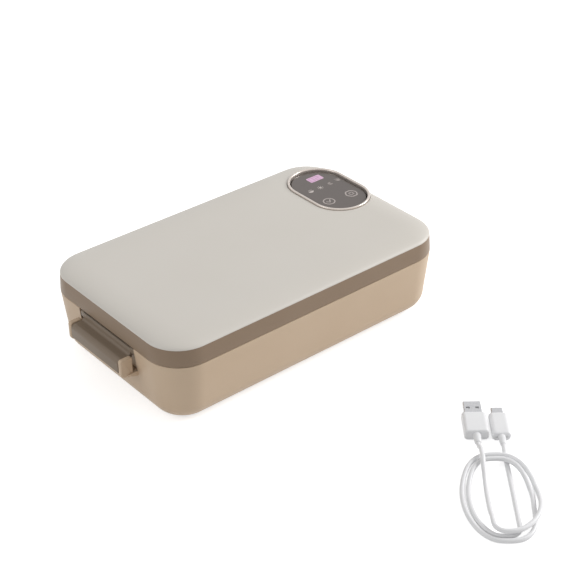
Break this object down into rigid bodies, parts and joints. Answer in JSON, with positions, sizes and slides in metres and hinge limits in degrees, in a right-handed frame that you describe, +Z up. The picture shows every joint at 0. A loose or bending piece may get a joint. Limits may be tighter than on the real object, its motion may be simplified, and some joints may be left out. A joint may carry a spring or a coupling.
{
  "type": "electric lunch box",
  "caption": "Cordless electric lunch box with a hinged lid and touch display, a snap latch, a lift-out steel tray over a heating plate, and a USB charging cable.",
  "frame": {"origin": "centre of the box's footprint, on the surface that its feet stand on", "axes": "+X points to the hinge and display end, -X to the latch; +Y points to the long side with the charging socket; +Z up"},
  "size_m": [0.262, 0.3614, 0.067],
  "materials": {
    "beige_shell": "satin moulded plastic, warm beige",
    "lid_cream": "satin soft-touch plastic, pale warm grey",
    "brown_band": "satin moulded plastic, taupe brown",
    "latch_brown": "satin moulded plastic, dark taupe",
    "inner_white": "off-white food-safe plastic",
    "silicone": "translucent white silicone",
    "foot_rubber": "dark grey rubber",
    "ring_chrome": "satin chrome plating",
    "smoked_panel": "smoked glossy panel",
    "black_plastic": "black moulded plastic",
    "stainless": "brushed stainless steel",
    "steel": "plain steel",
    "aluminium_plate": "anodised aluminium",
    "film": "amber film",
    "pad": "pressed fibre",
    "cell_foil": "laminated foil pouch",
    "circuit": "green solder mask",
    "chip": "black moulded packages",
    "gold": "gold plated",
    "lead_red": "red wire jacket",
    "lead_black": "black wire jacket",
    "lamp": "diffusing white resin",
    "cable_white": "white cable jacket and plug mouldings",
    "plug_steel": "nickel plated steel"
  },
  "bodies": {
    "base": {"base_shell": "beige_shell", "rubber_feet": "foot_rubber", "base_screws": "steel", "well_frame": "inner_white", "heating_plate": "aluminium_plate", "heater_film": "film", "heater_clamp": "steel", "insulation_pad": "pad", "thermostat": "chip", "temperature_probe": "steel", "battery_cradle": "black_plastic", "battery_cells": "cell_foil", "battery_board": "circuit", "main_board": "circuit", "board_parts": "chip", "charge_board": "circuit", "charge_socket": "plug_steel", "contact_block": "black_plastic", "contact_pins": "gold", "power_leads": "lead_red", "signal_leads": "lead_black", "hinge_pin": "steel", "latch_pin": "steel", "food_tray": "stainless", "cable_coil": "cable_white", "cable_lead_a": "cable_white", "cable_lead_c": "cable_white", "usb_a_shell": "plug_steel", "usb_a_body": "cable_white", "usb_c_shell": "plug_steel", "usb_c_body": "cable_white"},
    "lid": {"lid_cover": "lid_cream", "lid_band": "brown_band", "inner_cover": "inner_white", "lid_seal": "silicone", "lid_screws": "steel", "display_ring": "ring_chrome", "display_panel": "smoked_panel", "display_carrier": "black_plastic", "control_board": "circuit", "digit_module": "lamp", "icon_leds": "lamp", "touch_pillars": "chip", "contact_pads": "gold", "lid_flex": "film"},
    "latch": {"latch": "latch_brown"}
  },
  "joints": [
    {"name": "lid_hinge", "type": "hinge", "parent": "base", "child": "lid", "pos_m": [0.1265, 0, 0.0437], "axis": [0, 1, 0], "range_deg": [0, 105]},
    {"name": "latch_pivot", "type": "hinge", "parent": "base", "child": "latch", "pos_m": [-0.1246, 0, 0.0349], "axis": [0, -1, 0], "range_deg": [0, 40]}
  ]
}
